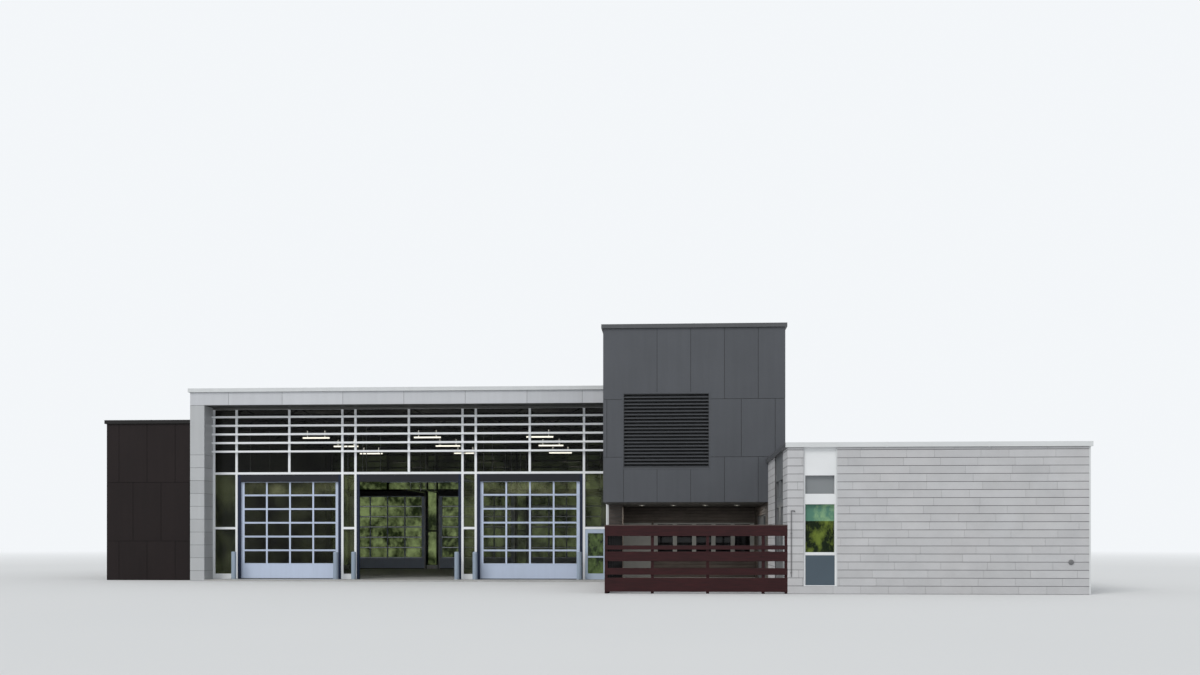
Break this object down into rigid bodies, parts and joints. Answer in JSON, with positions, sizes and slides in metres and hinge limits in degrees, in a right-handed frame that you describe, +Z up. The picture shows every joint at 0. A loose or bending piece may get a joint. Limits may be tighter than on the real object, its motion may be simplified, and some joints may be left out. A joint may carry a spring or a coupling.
{
  "type": "fire station building",
  "caption": "Fire station: glazed drive-through apparatus hall with overhead doors, dark side block, charcoal upper storey over a fenced terrace, and a masonry wing.",
  "frame": {"origin": "middle of the footprint at ground level", "axes": "+X to the right as seen from the front, the longest extent; +Y from the front to the rear; +Z up, the shortest extent"},
  "size_m": [38.65, 32.46, 10.37],
  "materials": {
    "block_panel": "matt near-black panels",
    "bollard_paint": "satin pale blue grey",
    "brown_board": "dark stained boards",
    "dark_coping": "satin grey",
    "door_blue": "satin pale blue grey",
    "door_surround": "satin dark navy",
    "fence_board": "dark red stained boards",
    "glazing": "clear, slightly green",
    "handle_steel": "satin stainless",
    "header_grey": "satin slate grey",
    "joist_steel": "dark primer",
    "lamp": "white diffuser, lit",
    "light_coping": "satin light grey",
    "louvre_metal": "satin grey blades",
    "masonry": "smooth light grey blocks",
    "mullion": "satin pale grey",
    "pale_panel": "satin pale grey",
    "pipe_metal": "satin light grey",
    "portal_panel": "satin light grey panels",
    "roofing": "matt roofing membrane",
    "slab": "power-floated concrete",
    "soffit_board": "matt dark soffit panels",
    "spandrel": "satin grey-blue panels",
    "tower_panel": "matt charcoal panels",
    "track_steel": "galvanised",
    "window_white": "satin white frames"
  },
  "bodies": {
    "building": {"floor_slabs": "slab", "hall_left_wall": "portal_panel", "hall_right_wall": "portal_panel", "hall_roof": "roofing", "roof_joists": "joist_steel", "portal_legs": "portal_panel", "portal_fascias": "portal_panel", "hall_coping": "light_coping", "front_upper_frame": "mullion", "front_bay_frames": "mullion", "front_glass": "glazing", "man_door_frame": "mullion", "overhead_door_left": "door_blue", "overhead_door_middle": "door_blue", "overhead_door_right": "door_blue", "overhead_door_glass": "glazing", "door_tracks": "track_steel", "track_bends": "track_steel", "track_runs": "track_steel", "track_hangers": "track_steel", "door_jambs": "door_surround", "door_headers": "header_grey", "rear_upper_frame": "mullion", "rear_bay_frames": "mullion", "rear_glass": "glazing", "rear_overhead_doors": "door_blue", "bollards": "bollard_paint", "ceiling_lights": "lamp", "block_front_wall": "block_panel", "block_side_wall": "block_panel", "block_rear_wall": "block_panel", "block_roof": "roofing", "block_coping": "light_coping", "tower_front_wall": "tower_panel", "tower_side_walls": "tower_panel", "tower_rear_wall": "tower_panel", "tower_floor": "soffit_board", "tower_roof": "roofing", "tower_coping": "dark_coping", "tower_louvre": "louvre_metal", "terrace_back_wall": "brown_board", "terrace_windows": "mullion", "terrace_glass": "glazing", "terrace_panel": "pale_panel", "terrace_fence": "fence_board", "fence_return": "fence_board", "wing_front_wall": "masonry", "wing_left_wall": "masonry", "wing_right_wall": "masonry", "wing_rear_wall": "masonry", "wing_roof": "roofing", "wing_coping": "light_coping", "wing_windows": "window_white", "wing_spandrels": "spandrel", "wing_glass": "glazing", "wall_pipe": "pipe_metal"},
    "man_door": {"man_door_leaf": "door_blue", "man_door_glass": "glazing", "man_door_handle": "handle_steel"}
  },
  "joints": [
    {"name": "man_door_hinge", "type": "hinge", "parent": "building", "child": "man_door", "pos_m": [2.831, -3.862, 1.1725], "axis": [0, 0, 1], "range_deg": [0, 90]}
  ]
}
